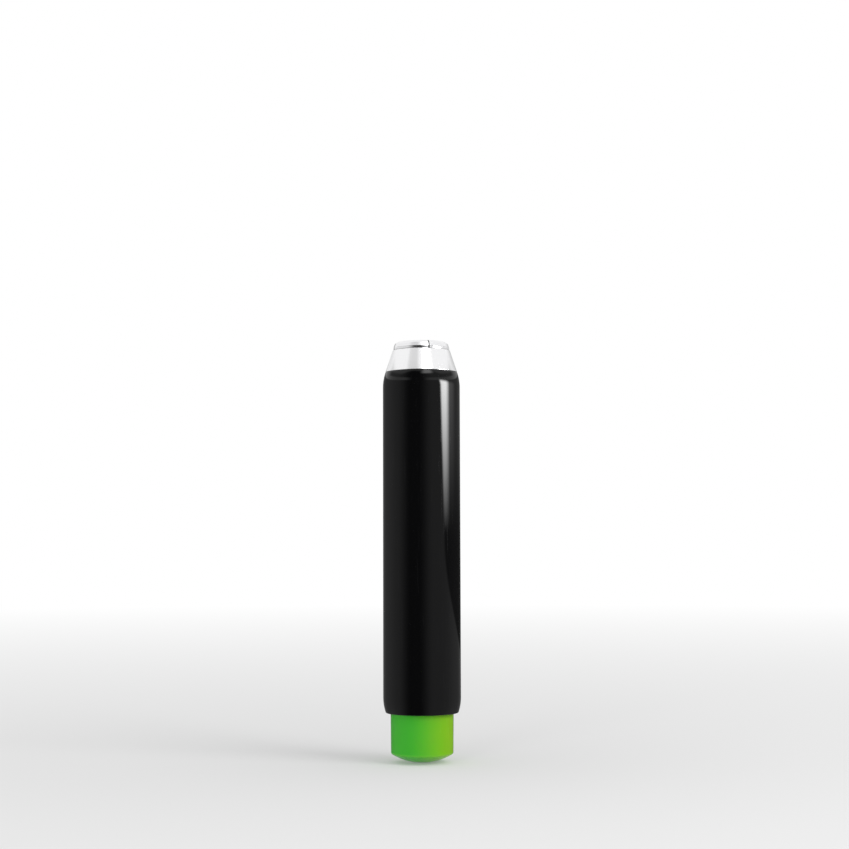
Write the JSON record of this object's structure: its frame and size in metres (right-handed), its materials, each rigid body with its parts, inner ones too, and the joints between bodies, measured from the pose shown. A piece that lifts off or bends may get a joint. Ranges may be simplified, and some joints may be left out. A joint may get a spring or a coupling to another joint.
{
  "type": "chalk holder",
  "caption": "Push-button chalk holder: a gloss black barrel with a bright nose cone, a split collet that grips a thick crayon, and a domed green button that opens it.",
  "frame": {"origin": "on the axis, at the middle of the barrel's straight side, which is the grip", "axes": "+Z along the axis towards the nose, -Y towards the camera of the picture, +X to its right"},
  "size_m": [0.021, 0.021, 0.1136],
  "materials": {
    "barrel_black": "polished black",
    "nose_metal": "polished plating",
    "collet_metal": "polished plating",
    "tube_metal": "drawn, plain",
    "spring_steel": "drawn wire",
    "button_green": "moulded, gloss"
  },
  "bodies": {
    "housing": {"barrel": "barrel_black", "nose_cone": "nose_metal", "return_spring": "spring_steel"},
    "carriage": {"collet_collar": "collet_metal", "crayon_tube": "tube_metal", "push_button": "button_green"},
    "front_right_jaw": {"jaw_front_right": "collet_metal"},
    "rear_right_jaw": {"jaw_rear_right": "collet_metal"},
    "rear_left_jaw": {"jaw_rear_left": "collet_metal"},
    "front_left_jaw": {"jaw_front_left": "collet_metal"}
  },
  "joints": [
    {"name": "button_press", "type": "slide", "parent": "housing", "child": "carriage", "axis": [0, 0, 1], "range_m": [0, 0.008], "stiffness_N_per_m": 600, "springref_m": -0.005, "deforming": ["return_spring"]},
    {"name": "front_right_jaw_open", "type": "hinge", "parent": "carriage", "child": "front_right_jaw", "pos_m": [0.00577, -0.0032, 0.022], "axis": [0.4848, 0.8746, 0], "range_deg": [0, 1.77]},
    {"name": "rear_right_jaw_open", "type": "hinge", "parent": "carriage", "child": "rear_right_jaw", "pos_m": [0.0032, 0.00577, 0.022], "axis": [-0.8746, 0.4848, 0], "range_deg": [0, 1.77]},
    {"name": "rear_left_jaw_open", "type": "hinge", "parent": "carriage", "child": "rear_left_jaw", "pos_m": [-0.00577, 0.0032, 0.022], "axis": [-0.4848, -0.8746, 0], "range_deg": [0, 1.77]},
    {"name": "front_left_jaw_open", "type": "hinge", "parent": "carriage", "child": "front_left_jaw", "pos_m": [-0.0032, -0.00577, 0.022], "axis": [0.8746, -0.4848, 0], "range_deg": [0, 1.77]}
  ],
  "couplings": [
    {"joint": "front_right_jaw_open", "follows": "button_press", "rad_per_m": 3.8648},
    {"joint": "rear_right_jaw_open", "follows": "button_press", "rad_per_m": 3.8648},
    {"joint": "rear_left_jaw_open", "follows": "button_press", "rad_per_m": 3.8648},
    {"joint": "front_left_jaw_open", "follows": "button_press", "rad_per_m": 3.8648}
  ]
}
